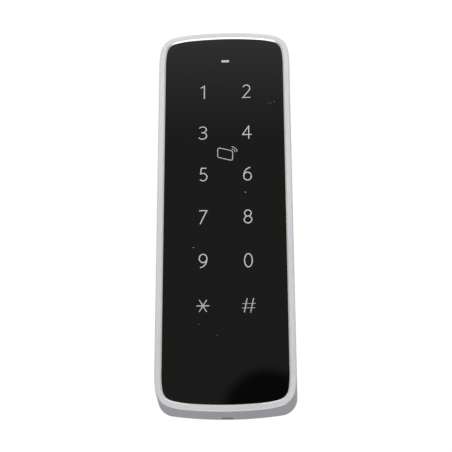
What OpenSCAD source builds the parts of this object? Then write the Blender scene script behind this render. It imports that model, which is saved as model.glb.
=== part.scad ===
// Keypad access reader: a narrow wall-mounted touch keypad with a contactless card reader.
// Row frame: X to the right seen from the front, Y into the wall (wall plane y = 0), Z up.

/* [Housing] */
// Overall width at the rear edge
body_w = 49.1; // [44:0.1:58]
// Overall height at the rear edge
body_h = 142; // [130:0.5:160]
// Depth from the wall to the front rim
body_d = 18; // [17:0.5:24]
// How much smaller the front outline is than the rear one, on each side
draft = 0.4; // [0:0.1:1]
// Corner radius at the front edge
corner_r = 6.8; // [6.4:0.1:9]
// Corner radius at the rear edge
rear_corner_r = 6.1; // [5:0.1:9]
// Radius that eases the sides and ends into the corners
ease_r = 31; // [12:1:50]
// How far round, in degrees, each of those easing arcs turns
ease_angle = 10.5; // [4:0.5:15]
// Radius of the shallow arcs along the top and bottom edges
end_r = 140; // [90:1:220]
// Width of the bright rim around the glass
rim_w = 2.5; // [1.8:0.1:3]
// Gap between the rear edge and the wall
shadow_gap = 0.3; // [0.2:0.1:1]

/* [Glass and keys] */
// Thickness of the touch glass
glass_t = 1.8; // [1:0.1:3]
// How far the glass lies behind the rim
glass_drop = 0.4; // [0.2:0.1:1]
// Bevel on the rim's inner edge
rim_bevel = 0.45; // [0.2:0.05:0.8]
// Distance between the two columns of keys
key_pitch_x = 15.85; // [13:0.05:18]
// Distance between the six rows of keys
key_pitch_z = 16.1; // [14:0.1:18]
// Height of the top row's centre line
top_row_z = 46.4; // [40:0.1:52]
// How far the print and the lamp sit to the right of the middle
print_x = 0.3; // [0:0.05:0.6]
// Height of a numeral
digit_h = 5.2; // [4:0.1:7]
// Width of a numeral
digit_w = 3.1; // [2.5:0.1:4.5]
// Line width of the printed figures
stroke = 0.4; // [0.3:0.05:0.7]
// Height of the status light above the middle
status_z = 58.9; // [54:0.1:62]
// Height of the card symbol's centre above the middle
card_z = 21.9; // [18:0.1:26]

/* [Mounting] */
// Thickness of the wall bracket's plate
plate_t = 1.5; // [1:0.1:2]
// Width of the wall bracket
plate_w = 37; // [30:0.5:38]
// Distance between the inner pair of wall fixings
fixing_pitch_a = 60.3; // [50:0.1:70]
// Distance between the outer pair of wall fixings
fixing_pitch_b = 83.3; // [75:0.1:90]
// Diameter of the wall fixing holes
fixing_d = 4.4; // [3.5:0.1:5.5]
// Diameter of the cable that the grommet takes
cable_d = 5.5; // [4:0.1:7]

/* [Motion] */
// How far the reader swings out from the bracket, in degrees
swing_max = 18; // [10:1:20]
// Travel of the security screw out of the bracket
screw_travel = 4; // [2:0.1:4.5]
// Travel of the tamper plunger
plunger_travel = 1.5; // [1:0.1:2]

/* [Hidden] */
$fn = 64;
eps = 0.01;
over = 1;                              // how far a cutter runs past what it cuts

// Outline levels: insets from the front edge of the housing
front_half_w = body_w / 2 - draft;
front_half_h = body_h / 2 - draft;
glass_in = rim_w;
pocket_in = rim_w - 0.05;
ledge_in = 4.6;
cavity_in = 3.4;
recess_in = 2.6;
stack_in = 3.6;

// Depth levels, front to back
y_front = -body_d;
y_rear = -shadow_gap;
y_glass = y_front + glass_drop;
y_glass_back = y_glass + glass_t;
adhesive_t = 0.2;
y_ledge = y_glass_back + adhesive_t;
y_board_a = y_ledge + 1;               // touch board, front face
board_a_t = 1.2;
y_board_b = y_board_a + 2.6;           // main board, front face
board_b_t = 1.2;
y_parts = y_board_b + board_b_t;       // rear face of the main board
y_shoulder = y_parts + 2.2;
gasket_t = 0.4;
y_cover = y_shoulder + gasket_t;       // front face of the rear cover
cover_t = 1.3;
y_cover_back = y_cover + cover_t;
print_t = 0.05;

// Hinge at the top of the bracket
pin_r = 1.2;
pin_play = 0.06;
pin_len = 26;
pivot_y = -2.5;
pivot_z = 64.6;
hook_r = 2.15;
hook_w = 8;
hook_x = 6.2;
ear_r = 1.8;
ear_x = 12;
ear_w = 1.5;
bead_clear = 0.15;

// Security screw at the bottom
screw_y = -4;
screw_r = 1;
screw_play = 0.05;
screw_head_r = 1.9;
screw_head_t = 1.6;
screw_head_z = -70.5;                  // underside of the head
screw_len = 8;
screw_tip = 0.3;
screw_socket_r = 0.95;
screw_gap = 0.3;
notch_head_r = screw_head_r + screw_gap;
notch_neck_r = screw_r + screw_gap;
notch_seat_z = screw_head_z + screw_head_t + 0.15;
tab_z = -66.4;
tab_t = 2;
tab_w = 13;
tab_y = -6.5;

// Tongue of the bracket that closes the screw notch at the wall
tongue_t = 1.2;
tongue_z = -70.9;
tongue_play = 0.1;

// Tamper plunger and its spring
tamper_x = 11;
tamper_z = -52;
plunger_r = 2;
plunger_play = 0.05;
plunger_flange_r = 2.7;
plunger_tip_y = -0.05;
plunger_bore_r = 1.45;
plunger_end_t = 1.6;                   // solid end of the hollow plunger
switch_t = 1.2;
spring_r = 1.1;
spring_wire_r = 0.15;
spring_turns = 7;
window_r = 2.6;

// Rear cover fastening
post_x = 18.3;
post_z = 45;
post_r = 2.3;
cover_screw_r = 1.1;
cover_screw_head_r = 2.1;
cover_screw_head_t = 1.3;
pillar_z = 63.4;
rib_h = 1.6;
chimney_r = 3.7;
chimney_h = 2.6;

// Buzzer and the sound hole over it
buzzer_x = -9;
buzzer_z = 50;

// Cable entry
grommet_z = 4;
grommet_r = 4.5;
grommet_flange_r = 6;
window_w = 18;
window_h = 34;
window_z = 3;

row_z = [for (i = [0:5]) top_row_z - i * key_pitch_z];

black = [0.05, 0.05, 0.055];
silver = [0.72, 0.73, 0.76];
steel = [0.62, 0.63, 0.65];
pcb = [0.06, 0.25, 0.16];
copper = [0.75, 0.45, 0.25];

// ---------------------------------------------------------------- outline of the housing

function dir(a) = [cos(a), sin(a)];

function arc(cx, cz, r, a0, a1, n) = [for (i = [0:n]) [cx, cz] + r * dir(a0 + (a1 - a0) * i / n)];

// A quarter from the middle of a side to the top: a corner arc cr between two easing arcs sr,
// then the shallow end arc er. Each arc starts where the outward normal has turned to turn[i].
function quarter(w, h, er, sr, cr) =
    let (e = ease_angle,
         a = (sr - cr) * cos(e) + er - sr,
         b = (sr - cr) * sin(e),
         k = w - sr * (1 - cos(e)) - cr * cos(e),
         t = asin(k / norm([a, b])) - atan2(b, a),
         turn = [0, e, 90 - t - e, 90 - t, 90],
         r = [sr, cr, sr, er],
         steps = [2, 6, 3, 5],
         c3 = [0, h - er],
         c2 = c3 + (er - sr) * dir(turn[3]),
         c1 = c2 + (sr - cr) * dir(turn[2]),
         c0 = c1 + (cr - sr) * dir(turn[1]),
         c = [c0, c1, c2, c3])
    [for (i = [0:3], j = [0:steps[i] - 1])
        c[i] + r[i] * dir(turn[i] + (turn[i + 1] - turn[i]) * j / steps[i])];

function whole(q, h) =
    let (left = [for (i = [len(q) - 1:-1:0]) [-q[i][0], q[i][1]]],
         top = concat(q, [[0, h]], left))
    concat(top, [for (p = top) -p]);

function shape(w, h, er, sr, cr) = whole(quarter(w, h, er, sr, cr), h);

function outline(inset) = shape(front_half_w - inset, front_half_h - inset, end_r - inset,
                                ease_r - inset, corner_r - inset);

function rear_outline() = shape(body_w / 2, body_h / 2, end_r + draft, rear_corner_r, rear_corner_r);

// A prism with the given outline in X and Z, from depth y0 (nearer the wall) to y1.
module prism(y0, y1, points) {
    translate([0, y0, 0]) rotate([90, 0, 0]) linear_extrude(y0 - y1) polygon(points);
}

module slab(y0, y1, inset) { prism(y0, y1, outline(inset)); }

module ring(y0, y1, outer, inner) {
    difference() {
        slab(y0, y1, outer);
        slab(y0 + over, y1 - over, inner);
    }
}

// A round bar along Y from y0 to y1.
module bar_y(x, z, r, y0, y1) {
    translate([x, y0, z]) rotate([90, 0, 0]) cylinder(r = r, h = y0 - y1);
}

// A round bar along X, centred on x.
module bar_x(x, y, z, r, len) {
    translate([x - len / 2, y, z]) rotate([0, 90, 0]) cylinder(r = r, h = len);
}

// A box from its centre in X and Z and its two depths.
module block(x, z, w, h, y0, y1) {
    translate([x - w / 2, y1, z - h / 2]) cube([w, y0 - y1, h]);
}

// A plate with rounded corners from its centre in X and Z and its two depths.
module plate(x, z, w, h, r, y0, y1) {
    block(x, z, w - 2 * r, h, y0, y1);
    block(x, z, w, h - 2 * r, y0, y1);
    for (i = [-1, 1], j = [-1, 1]) bar_y(x + i * (w / 2 - r), z + j * (h / 2 - r), r, y0, y1);
}

// ---------------------------------------------------------------- wall bracket

bracket_top = pivot_z - 0.6;

module fixing_holes(pitch) {
    for (s = [-1, 1]) bar_y(0, s * pitch / 2, fixing_d / 2, over, -plate_t - over);
}

module bracket_ear(x) {
    bar_x(x, pivot_y, pivot_z, ear_r, ear_w);
    block(x, pivot_z - 3, ear_w, 6, 0, pivot_y - ear_r);
}

// A neck and a wider foot, which follow the two widths of the notch.
module bracket_tongue() {
    foot_top = notch_seat_z - tongue_play;
    neck_h = tab_z + over - tongue_z;
    foot_h = foot_top - tongue_z;
    block(0, tongue_z + neck_h / 2, 2 * (notch_neck_r - tongue_play), neck_h, 0, -tongue_t);
    block(0, tongue_z + foot_h / 2, 2 * (notch_head_r - tongue_play), foot_h, 0, -tongue_t);
}

module wall_bracket() {
    plate_bottom = tab_z;
    plate_h = bracket_top - plate_bottom;
    color(steel) difference() {
        union() {
            plate(0, plate_bottom + plate_h / 2, plate_w, plate_h, 4, 0, -plate_t);
            block(0, tab_z + tab_t / 2, tab_w, tab_t, 0, tab_y);
            bracket_tongue();
            for (x = [-ear_x, 0, ear_x]) bracket_ear(x);
            for (s = [-1, 1]) block(s * (plate_w / 2 - 1), 0, 1, 96, -plate_t + eps, -plate_t - 1);
        }
        bar_x(0, pivot_y, pivot_z, pin_r, pin_len);
        fixing_holes(fixing_pitch_a);
        fixing_holes(fixing_pitch_b);
        plate(0, window_z, window_w, window_h, 3, over, -plate_t - over);
        bar_y(tamper_x, tamper_z, window_r, over, -plate_t - over);
        translate([0, screw_y, tab_z - over])
            cylinder(r = screw_r + screw_play, h = tab_t + 2 * over);
        // relief behind the hooks, which turn down as the reader swings out
        for (s = [-1, 1]) block(s * hook_x, bracket_top, hook_w + 1.4, 2.4, over, -plate_t - over);
    }
}

module hinge_pin() {
    color(steel) bar_x(0, pivot_y, pivot_z, pin_r, pin_len);
}

module security_screw() {
    color(steel) difference() {
        union() {
            translate([0, screw_y, screw_head_z]) cylinder(r = screw_head_r, h = screw_head_t);
            translate([0, screw_y, screw_head_z + screw_head_t])
                cylinder(r = screw_r, h = screw_len - screw_tip);
            translate([0, screw_y, screw_head_z + screw_head_t + screw_len - screw_tip])
                cylinder(r1 = screw_r, r2 = screw_r - screw_tip, h = screw_tip);
        }
        // hexagon socket with a centre pin
        translate([0, screw_y, screw_head_z - over]) difference() {
            cylinder(r = screw_socket_r, h = over + 1.1, $fn = 6);
            translate([0, 0, over]) cylinder(r = screw_socket_r / 3, h = 1.2);
        }
    }
}

// ---------------------------------------------------------------- housing

module post(x, z) {
    bar_y(x, z, post_r, y_cover, y_board_a);
    side = sign(x);
    block(x + side * 1.6, z, 3.2, 2 * post_r, y_cover - gasket_t, y_board_a);
}

// Everything that would pass behind the wall plane at the end of the swing.
module swing_relief() {
    translate([0, pivot_y, pivot_z]) rotate([swing_max, 0, 0])
        translate([-body_w, -pivot_y - bead_clear, -body_h * 2])
            cube([2 * body_w, body_d, body_h * 4]);
}

module screw_notch() {
    for (step = [[notch_head_r, notch_seat_z], [notch_neck_r, -60]]) {
        h = body_h + step[1];
        translate([0, screw_y, -body_h]) cylinder(r = step[0], h = h);
        translate([-step[0], screw_y, -body_h]) cube([2 * step[0], body_d, h]);
    }
}

module housing_shell() {
    hull() {
        prism(y_rear, y_rear - eps, rear_outline());
        slab(y_front + eps, y_front, 0);
    }
}

module front_frame() {
    color(silver) difference() {
        union() {
            difference() {
                housing_shell();
                slab(y_ledge, y_front - over, pocket_in);
                hull() {
                    slab(y_front + rim_bevel, y_front + rim_bevel - eps, pocket_in);
                    slab(y_front + eps, y_front, pocket_in - rim_bevel);
                }
                slab(y_ledge + over, y_ledge - over, ledge_in);
                slab(over, y_board_a, cavity_in);
                slab(over, y_shoulder, recess_in);
            }
            for (i = [-1, 1], j = [-1, 1]) post(i * post_x, j * post_z);
        }
        for (i = [-1, 1], j = [-1, 1])
            bar_y(i * post_x, j * post_z, cover_screw_r, over, y_board_a + 1);
        intersection() {
            swing_relief();
            translate([-body_w, -body_d, pivot_z]) cube([2 * body_w, body_d + over, body_h]);
        }
        screw_notch();
    }
}

module touch_glass() {
    color(black) slab(y_glass_back, y_glass, glass_in);
}

module panel_adhesive() {
    color([0.1, 0.1, 0.1]) ring(y_ledge, y_glass_back, glass_in + 0.3, ledge_in - 0.1);
}

// ---------------------------------------------------------------- printed figures

function unit(v) = v / norm(v);
function normal(v) = [-v[1], v[0]];
function flip(list) = [for (i = [len(list) - 1:-1:0]) list[i]];

// One side of a line of width s, with mitred corners.
function edge_of(p, s) = [for (i = [0:len(p) - 1])
    let (a = unit(i > 0 ? p[i] - p[i - 1] : p[1] - p[0]),
         b = i < len(p) - 1 ? unit(p[i + 1] - p[i]) : a,
         n = unit(normal(a) + normal(b)))
    p[i] + n * (s / 2) / max(0.5, n * normal(a))];

module line_2d(p, s = stroke) { polygon(concat(edge_of(p, s), flip(edge_of(p, -s)))); }

module loop_2d(rx, rz, s = stroke) {
    difference() {
        polygon([for (a = [0:10:350]) [(rx + s / 2) * cos(a), (rz + s / 2) * sin(a)]]);
        polygon([for (a = [0:10:350]) [(rx - s / 2) * cos(a), (rz - s / 2) * sin(a)]]);
    }
}

// A quadratic curve from a to c, pulled towards b.
function bend(a, b, c) = [for (t = [0:0.1:1]) a * pow(1 - t, 2) + b * 2 * t * (1 - t) + c * pow(t, 2)];

// Half width and half height of a numeral's centre line
gw = (digit_w - stroke) / 2;
gh = (digit_h - stroke) / 2;

module six_2d() {
    r = gw;
    translate([0, -gh + r]) loop_2d(r, r);
    line_2d(bend([0.74 * gw, gh], [-0.78 * gw, 0.86 * gh], [-gw, r - gh]));
}

module glyph_2d(g) {
    up = gh * 0.46;
    ru = gh - up;
    rl = (up + gh - ru) / 2;
    if (g == "1") line_2d([[-0.75 * gw, 0.6 * gh], [0.3 * gw, 0.97 * gh], [0.3 * gw, -gh - stroke / 2]]);
    if (g == "2") line_2d(concat(arc(0, gh - gw, gw, 165, -35, 12), [[-gw, -gh], [gw * 1.08, -gh]]));
    if (g == "3") {
        line_2d(arc(-0.2, up, ru, 146, -90, 14));
        line_2d(arc(-0.2, -gh + rl, rl, 90, -150, 14));
    }
    if (g == "4") {
        line_2d([[0.45 * gw, -gh - stroke / 2], [0.45 * gw, gh + stroke / 2]]);
        line_2d([[0.45 * gw, gh], [-1.2 * gw, -0.38 * gh], [1.22 * gw, -0.38 * gh]]);
    }
    if (g == "5") line_2d(concat([[0.8 * gw, gh], [-0.55 * gw, gh], [-0.72 * gw, 0.12 * gh]],
                                 arc(-0.12, -gh + 1.42, 1.42, 112, -140, 16)));
    if (g == "6") six_2d();
    if (g == "7") line_2d([[-gw, gh], [gw, gh], [-0.35 * gw, -gh - stroke / 2]]);
    if (g == "8") {
        translate([0, up]) loop_2d(ru * 0.94, ru);
        translate([0, -gh + rl]) loop_2d(gw, rl);
    }
    if (g == "9") rotate(180) six_2d();
    if (g == "0") loop_2d(gw, gh);
    if (g == "*") {
        line_2d([[-2.25, 0], [2.25, 0]]);
        for (s = [-1, 1]) line_2d([[s * 1.3, 2.12], [-s * 1.3, -2.12]]);
    }
    if (g == "#") {
        for (x = [-1.1, 1.1]) line_2d([[x - 0.5, -2.5], [x + 0.5, 2.5]]);
        for (z = [-0.9, 0.6]) line_2d([[-2.3, z], [2.3, z]], stroke * 0.5);
    }
}

module printed(x, z) {
    translate([x, y_glass, z]) rotate([90, 0, 0]) linear_extrude(print_t) children();
}

module key_legends() {
    figures = [["1", "2"], ["3", "4"], ["5", "6"], ["7", "8"], ["9", "0"], ["*", "#"]];
    color([0.8, 0.8, 0.8]) for (r = [0:5], c = [0, 1])
        printed(print_x + (c - 0.5) * key_pitch_x, row_z[r]) glyph_2d(figures[r][c]);
}

// Centre and line widths of the card symbol
sign_x = print_x + 0.1;
card_stroke = 0.3;
wave_stroke = 0.23;

// A card seen at an angle: four corners and their common corner radius
module card_2d() {
    corners = [[2.55, 1.2], [-2.85, 2.6], [-2.85, -1.15], [2.55, -2.6]];
    cr = 0.8;
    offset(r = cr) offset(delta = -cr) offset(delta = card_stroke / 2) polygon(corners);
}

module card_symbol() {
    color([0.7, 0.7, 0.7]) printed(sign_x, card_z) {
        difference() {
            card_2d();
            offset(delta = -card_stroke) card_2d();
        }
        for (r = [1.25, 2.05]) line_2d(arc(2.1, 0.8, r, 88, 0, 10), wave_stroke);
    }
}

status_w = 2.84;
status_h = 0.84;

module status_window() {
    color([0.9, 0.9, 0.95]) plate(sign_x, status_z, status_w, status_h, 0.3, y_glass, y_glass - print_t);
}

// ---------------------------------------------------------------- light and touch layers

module backlight_guide() {
    color([0.9, 0.93, 0.95, 0.6]) difference() {
        slab(y_board_a - 0.1, y_glass_back + 0.02, ledge_in + 0.2);
        for (z = row_z) block(0, z, 2.2, 3.6, y_board_a, y_glass_back - over);
        block(print_x, status_z, 4, 1.8, y_board_a, y_glass_back - over);
    }
}

module backlight_leds() {
    color([0.95, 0.95, 0.85]) for (z = row_z) {
        block(0, z, 1.4, 2.8, y_board_a, y_board_a - 0.6);
        block(0, z, 1.0, 1.6, y_board_a - 0.6 + eps, y_board_a - 0.68);
    }
}

module status_light_pipe() {
    color([0.9, 0.93, 0.95, 0.6]) block(print_x, status_z, 3.4, 1.2, y_board_a - 0.4, y_glass_back + 0.02);
}

module status_led() {
    color([0.95, 0.95, 0.85]) for (s = [-1, 1])
        block(print_x + s * 0.8, status_z, 1, 0.9, y_board_a, y_board_a - 0.36);
}

module post_clearance(y0, y1) {
    for (i = [-1, 1], j = [-1, 1]) {
        bar_y(i * post_x, j * post_z, post_r + 0.3, y0 + over, y1 - over);
        block(i * (post_x + 3), j * post_z, 6, 2 * post_r + 0.6, y0 + over, y1 - over);
    }
}

// A board outline with room for the four screw posts.
module board(y0, y1, inset) {
    difference() {
        slab(y0, y1, inset);
        post_clearance(y0, y1);
    }
}

module touch_board() {
    color(pcb) board(y_board_a + board_a_t, y_board_a, stack_in);
}

module touch_pads() {
    color(copper) for (z = row_z, s = [-1, 1])
        block(print_x + s * key_pitch_x / 2, z, 12, 12.5, y_board_a, y_board_a - 0.04);
}

antenna_w = 32;
antenna_h = 50;
antenna_z = 14;
antenna_turns = 5;
antenna_t = 0.15;
ferrite_t = 0.25;

module rfid_antenna() {
    y = y_board_a + board_a_t;
    w = antenna_w / 2;
    h = antenna_h / 2;
    track = concat([[-w, -h]], [for (i = [0:antenna_turns - 1]) each
        [[i - w, h - i], [w - i, h - i], [w - i, i - h], [i + 1 - w, i - h]]]);
    color(copper) translate([0, y + antenna_t, antenna_z]) rotate([90, 0, 0])
        linear_extrude(antenna_t) line_2d(track, 0.5);
}

module ferrite_sheet() {
    y = y_board_a + board_a_t + antenna_t;
    color([0.25, 0.25, 0.27]) block(0, antenna_z, antenna_w + 1, antenna_h + 1, y + ferrite_t, y);
}

module board_spacer() {
    y0 = y_board_b;
    y1 = y_board_a + board_a_t;
    color([0.15, 0.15, 0.16]) difference() {
        union() {
            ring(y0, y1, stack_in, stack_in + 1.6);
            block(0, -50, 2 * (front_half_w - stack_in) - 1, 2, y0, y1);
            for (i = [-1, 1], j = [-1, 1]) bar_y(i * (post_x - 0.6), j * post_z, post_r + 1.4, y0, y1);
        }
        post_clearance(y0, y1);
    }
}

module board_connector() {
    y0 = y_board_b;
    y1 = y_board_a + board_a_t;
    color([0.1, 0.1, 0.1]) difference() {
        block(0, -32, 13.4, 5.2, y0, y1);
        for (i = [0:4], j = [-1, 1]) block((i - 2) * 2.54, -32 + j * 1.27, 0.7, 0.7, y0 + over, y0 - 0.8);
    }
}

// ---------------------------------------------------------------- main board and its parts

module main_board() {
    color(pcb) difference() {
        board(y_parts, y_board_b, stack_in);
        for (s = [-1, 1], z = [-55, 55]) bar_y(s * 8, z, 1, y_parts + over, y_board_b - over);
    }
}

// A flat chip with gull-wing legs on two or four sides.
module chip(x, z, w, h, t, legs, pitch, four_sides) {
    block(x, z, w, h, y_parts + t, y_parts + 0.1);
    for (i = [0:legs - 1], s = [-1, 1]) {
        step = (i - (legs - 1) / 2) * pitch;
        block(x + s * (w / 2 + 0.35), z + step, 0.9, pitch * 0.45, y_parts + 0.2, y_parts);
        if (four_sides)
            block(x + step, z + s * (h / 2 + 0.35), pitch * 0.45, 0.9, y_parts + 0.2, y_parts);
    }
}

module controller_chip() { color(black) chip(-7, -20, 10, 10, 1.4, 12, 0.7, true); }

module radio_chip() { color(black) chip(-7, 24, 6, 6, 0.9, 8, 0.6, true); }

module transceiver_chip() {
    color(black) for (z = [-10, -20]) chip(9, z, 4, 5, 1.5, 4, 1.27, false);
}

module voltage_regulator() {
    color(black) {
        chip(12.5, 14, 3.6, 6.4, 1.6, 3, 2.3, false);
        block(9.6, 14, 1.8, 3, y_parts + 0.3, y_parts);
    }
}

module power_inductor() {
    color([0.2, 0.2, 0.22]) difference() {
        plate(8, 26, 7, 7, 1.2, y_parts + 2.1, y_parts);
        difference() {
            bar_y(8, 26, 2.9, y_parts + 3, y_parts + 1.8);
            bar_y(8, 26, 2.5, y_parts + 3, y_parts);
        }
    }
}

module capacitors() {
    color([0.7, 0.7, 0.72]) for (x = [5, 11.5]) {
        plate(x, 36, 5.4, 5.4, 0.7, y_parts + 0.5, y_parts);
        bar_y(x, 36, 2.4, y_parts + 2.1, y_parts + 0.5 - eps);
    }
}

module chip_resistors() {
    color([0.15, 0.13, 0.12]) {
        for (i = [0:6]) block(-14 + i * 2.2, 8 + (i % 2) * 2.2, 0.8, 1.6, y_parts + 0.5, y_parts);
        for (i = [0:5]) block(-14.5, -34 - i * 1.9, 1.6, 0.8, y_parts + 0.5, y_parts);
        for (i = [0:4]) block(2 + i * 1.9, -27, 0.8, 1.6, y_parts + 0.5, y_parts);
    }
}

module crystal() {
    color([0.75, 0.75, 0.72]) {
        plate(-7, -10, 5, 3.2, 0.5, y_parts + 0.9, y_parts);
        plate(-7, 32, 3.2, 2.5, 0.3, y_parts + 0.7, y_parts);
    }
}

module buzzer() {
    color(black) difference() {
        bar_y(buzzer_x, buzzer_z, 4.5, y_parts + 2.1, y_parts);
        bar_y(buzzer_x, buzzer_z, 0.8, y_parts + 3, y_parts + 1);
    }
}

module cable_header() {
    ways = 9;
    pitch = 2.5;
    color([0.1, 0.3, 0.15]) difference() {
        block(-2, -58, ways * pitch + 1, 5.4, y_parts + 2.1, y_parts);
        for (i = [0:ways - 1]) {
            x = -2 + (i - (ways - 1) / 2) * pitch;
            bar_y(x, -57.2, 0.9, y_parts + 3, y_parts + 0.6);
            block(x, -61, 1.7, 3.5, y_parts + 1.7, y_parts + 0.5);
        }
    }
}

module tamper_switch() {
    color(black) difference() {
        plate(tamper_x, tamper_z, 5.6, 5.6, 0.4, y_parts + switch_t, y_parts);
        bar_y(tamper_x, tamper_z, 0.7, y_parts + 2, y_parts + 0.8);
    }
}

y_switch = y_parts + switch_t;
y_flange = y_switch + 0.4;
y_bore_end = plunger_tip_y - plunger_end_t;
tip_bevel = 0.4;

module tamper_plunger() {
    color([0.85, 0.85, 0.82]) difference() {
        union() {
            bar_y(tamper_x, tamper_z, plunger_r, plunger_tip_y - tip_bevel, y_flange);
            translate([tamper_x, plunger_tip_y - tip_bevel, tamper_z]) rotate([-90, 0, 0])
                cylinder(r1 = plunger_r, r2 = plunger_r - tip_bevel, h = tip_bevel);
            bar_y(tamper_x, tamper_z, plunger_flange_r, y_flange + 0.5, y_flange);
        }
        bar_y(tamper_x, tamper_z, plunger_bore_r, y_bore_end, y_flange - over);
    }
}

// A coil of round wire, swept as one closed surface.
module tamper_spring() {
    steps = 14 * spring_turns;
    sides = 8;
    y0 = y_switch + spring_wire_r + 0.02;
    y1 = y_bore_end - spring_wire_r - 0.02;
    points = [for (i = [0:steps], j = [0:sides - 1])
        let (t = 360 * spring_turns * i / steps, a = 360 * j / sides,
             r = spring_r + spring_wire_r * cos(a))
        [tamper_x + r * cos(t), y0 + (y1 - y0) * i / steps + spring_wire_r * sin(a),
         tamper_z + r * sin(t)]];
    sides_of = [for (i = [0:steps - 1], j = [0:sides - 1]) let (k = (j + 1) % sides)
        [i * sides + j, i * sides + k, (i + 1) * sides + k, (i + 1) * sides + j]];
    first = [for (j = [sides - 1:-1:0]) j];
    last = [for (j = [0:sides - 1]) steps * sides + j];
    color(steel) polyhedron(points = points, faces = concat(sides_of, [first], [last]));
}

// ---------------------------------------------------------------- rear cover and seals

module sealing_gasket() {
    color([0.12, 0.12, 0.12]) ring(y_cover, y_shoulder, recess_in + 0.05, cavity_in - 0.02);
}

// A hook: half a ring over the hinge pin, with a web to the cover.
module hook(x) {
    difference() {
        union() {
            bar_x(x, pivot_y, pivot_z, hook_r, hook_w);
            block(x, pivot_z + 0.3, hook_w, 2 * hook_r - 0.6, pivot_y - 1.2, y_cover_back - eps);
        }
        bar_x(x, pivot_y, pivot_z, pin_r + pin_play, hook_w + 2);
        block(x, pivot_z - 5, hook_w + 2, 10, over, pivot_y - 1.75);
    }
}

module rear_cover() {
    y_chimney = y_cover_back + chimney_h;
    color([0.13, 0.13, 0.14]) difference() {
        union() {
            slab(y_cover_back, y_cover, recess_in + 0.1);
            for (s = [-1, 1]) {
                hook(s * hook_x);
                block(s * 14.5, -8, 1, 70, y_cover_back + rib_h, y_cover_back - eps);
                for (z = [-pillar_z, pillar_z]) bar_y(s * 13.5, z, 1.6, y_cover + eps, y_parts);
            }
            bar_y(tamper_x, tamper_z, chimney_r, y_chimney, y_cover_back - eps);
        }
        for (i = [-1, 1], j = [-1, 1])
            bar_y(i * post_x, j * post_z, cover_screw_r + 0.15, y_cover_back + over, y_cover - over);
        bar_y(0, grommet_z, grommet_r, y_cover_back + over, y_cover - over);
        bar_y(tamper_x, tamper_z, plunger_flange_r + 0.2, y_chimney - 0.9, y_cover - over);
        bar_y(tamper_x, tamper_z, plunger_r + plunger_play, y_chimney + over, y_cover);
        bar_y(buzzer_x, buzzer_z, 0.9, y_cover_back + over, y_cover - over);
    }
}

module cover_screws() {
    y_head = y_cover_back + cover_screw_head_t;
    color(steel) for (i = [-1, 1], j = [-1, 1]) difference() {
        union() {
            bar_y(i * post_x, j * post_z, cover_screw_head_r, y_head, y_cover_back);
            bar_y(i * post_x, j * post_z, cover_screw_r, y_cover_back + eps, y_board_a + 2);
        }
        for (a = [0, 90]) translate([i * post_x, y_head, j * post_z])
            rotate([0, a, 0])
                cube([2.4, 1.4, 0.5], center = true);
    }
}

module cable_grommet() {
    color([0.08, 0.08, 0.08]) difference() {
        union() {
            bar_y(0, grommet_z, grommet_flange_r, y_cover_back + 1, y_cover_back);
            bar_y(0, grommet_z, grommet_r, y_cover_back + 2.4, y_cover);
            bar_y(0, grommet_z, grommet_flange_r, y_cover, y_cover - 0.9);
        }
        bar_y(0, grommet_z, cable_d / 2, y_cover_back + 2 + over, y_cover - 1 - over);
    }
}

wall_bracket();
hinge_pin();
security_screw();
front_frame();
touch_glass();
key_legends();
card_symbol();
status_window();
panel_adhesive();
backlight_guide();
backlight_leds();
status_light_pipe();
status_led();
touch_board();
touch_pads();
rfid_antenna();
ferrite_sheet();
board_spacer();
board_connector();
main_board();
controller_chip();
radio_chip();
transceiver_chip();
voltage_regulator();
power_inductor();
capacitors();
chip_resistors();
crystal();
buzzer();
cable_header();
tamper_switch();
tamper_plunger();
tamper_spring();
sealing_gasket();
rear_cover();
cover_screws();
cable_grommet();
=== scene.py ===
"""Looks for the keypad access reader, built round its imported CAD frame."""

import math

import bmesh
import bpy
from mathutils import Matrix, Vector


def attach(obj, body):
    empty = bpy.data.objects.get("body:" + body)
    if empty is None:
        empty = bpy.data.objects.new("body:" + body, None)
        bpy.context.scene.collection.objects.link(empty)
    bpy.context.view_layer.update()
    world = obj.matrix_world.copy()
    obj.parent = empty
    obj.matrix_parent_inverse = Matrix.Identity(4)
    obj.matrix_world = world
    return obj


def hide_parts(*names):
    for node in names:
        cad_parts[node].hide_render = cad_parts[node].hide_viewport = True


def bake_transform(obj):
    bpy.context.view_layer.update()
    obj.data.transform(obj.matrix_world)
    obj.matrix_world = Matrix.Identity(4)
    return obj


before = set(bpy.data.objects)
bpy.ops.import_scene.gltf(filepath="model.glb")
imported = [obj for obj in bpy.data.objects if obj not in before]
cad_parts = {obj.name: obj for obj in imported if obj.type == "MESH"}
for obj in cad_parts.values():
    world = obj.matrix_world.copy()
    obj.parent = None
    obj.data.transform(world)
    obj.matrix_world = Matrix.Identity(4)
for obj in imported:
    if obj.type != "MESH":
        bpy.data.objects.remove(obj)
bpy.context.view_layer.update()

MM = 0.001

# ------------------------------------------------------------------ sizes in mm, as in the CAD part

BODY_W, BODY_H, BODY_D = 49.1, 142.0, 18.0
DRAFT = 0.4                                     # how much smaller the front is than the rear, on each side

# Arcs of the outline: the long ends, the corners, and the easing arcs on both sides of a corner
END_R, CORNER_R, REAR_CORNER_R = 140.0, 6.8, 6.1
EASE_R, EASE = 31.0, math.radians(10.5)

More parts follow.
